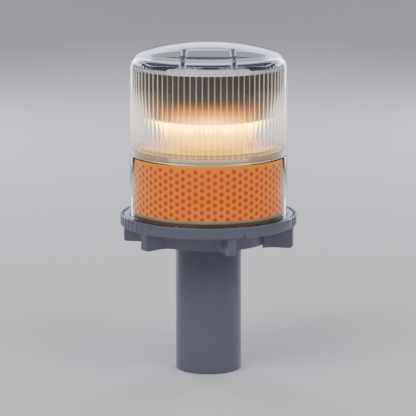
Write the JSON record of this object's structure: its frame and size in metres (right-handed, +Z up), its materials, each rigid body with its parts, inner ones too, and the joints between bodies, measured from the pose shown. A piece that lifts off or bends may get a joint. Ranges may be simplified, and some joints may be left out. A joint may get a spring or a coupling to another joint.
{
  "type": "traffic cone warning light",
  "caption": "Solar warning light with a clear fluted cover over an amber reflector band, on a grey twist-lock base whose plastic tube plugs into the top of a traffic cone.",
  "frame": {"origin": "middle of the stem tube's open lower end, on the surface the light stands on", "axes": "+Z up along the tube and the lamp, -Y towards the front, +X to the right seen from the front"},
  "size_m": [0.1072, 0.1072, 0.2007],
  "materials": {
    "grey_plastic": "moulded, slight gloss",
    "clear_plastic": "clear polycarbonate, polished",
    "amber_plastic": "translucent amber, bead-textured",
    "white_plastic": "moulded, satin",
    "silvered_plastic": "vacuum-metallised, satin",
    "frosted_plastic": "frosted clear",
    "dark_plastic": "moulded, fine texture",
    "seal_rubber": "soft silicone",
    "panel_laminate": "epoxy-coated laminate",
    "silicon": "coated silicon",
    "steel": "zinc-plated",
    "cell_jacket": "shrink-sleeved",
    "dark_steel": "blackened",
    "tinted_plastic": "warm, slightly translucent",
    "contact_metal": "nickel-plated",
    "circuit_board": "solder mask",
    "component_black": "moulded epoxy",
    "led_resin": "tinted clear resin",
    "lead_sleeve": "vinyl sleeve"
  },
  "bodies": {
    "base": {"base_housing": "grey_plastic", "stem_tube": "grey_plastic"},
    "head": {"chassis_plate": "dark_plastic", "lens_cover": "clear_plastic", "cover_seal": "seal_rubber", "reflector_band": "amber_plastic", "inner_drum": "tinted_plastic", "inner_diffuser": "frosted_plastic", "led_column": "white_plastic", "led_strip": "circuit_board", "leds": "led_resin", "cone_reflector": "silvered_plastic", "panel_tray": "white_plastic", "panel_clips": "clear_plastic", "solar_panel": "panel_laminate", "solar_cells": "silicon", "battery_holder": "dark_plastic", "battery_cells": "cell_jacket", "battery_contacts": "contact_metal", "battery_door": "dark_plastic", "door_seal": "seal_rubber", "control_board": "circuit_board", "board_parts": "component_black", "board_screws": "steel", "switch_body": "component_black", "cover_screws": "steel", "chassis_screws": "steel", "door_screws": "steel", "panel_screws": "dark_steel", "deck_screws": "steel", "panel_leads": "lead_sleeve"},
    "button": {"switch_button": "seal_rubber"}
  },
  "joints": [
    {"name": "head_twist", "type": "hinge", "parent": "base", "child": "head", "pos_m": [0, 0, 0.09245], "axis": [0, 0, 1], "range_deg": [0, 24]},
    {"name": "button_press", "type": "slide", "parent": "head", "child": "button", "axis": [0, 0, 1], "range_m": [0, 0.0015], "stiffness_N_per_m": 800, "springref_m": -0.001}
  ]
}
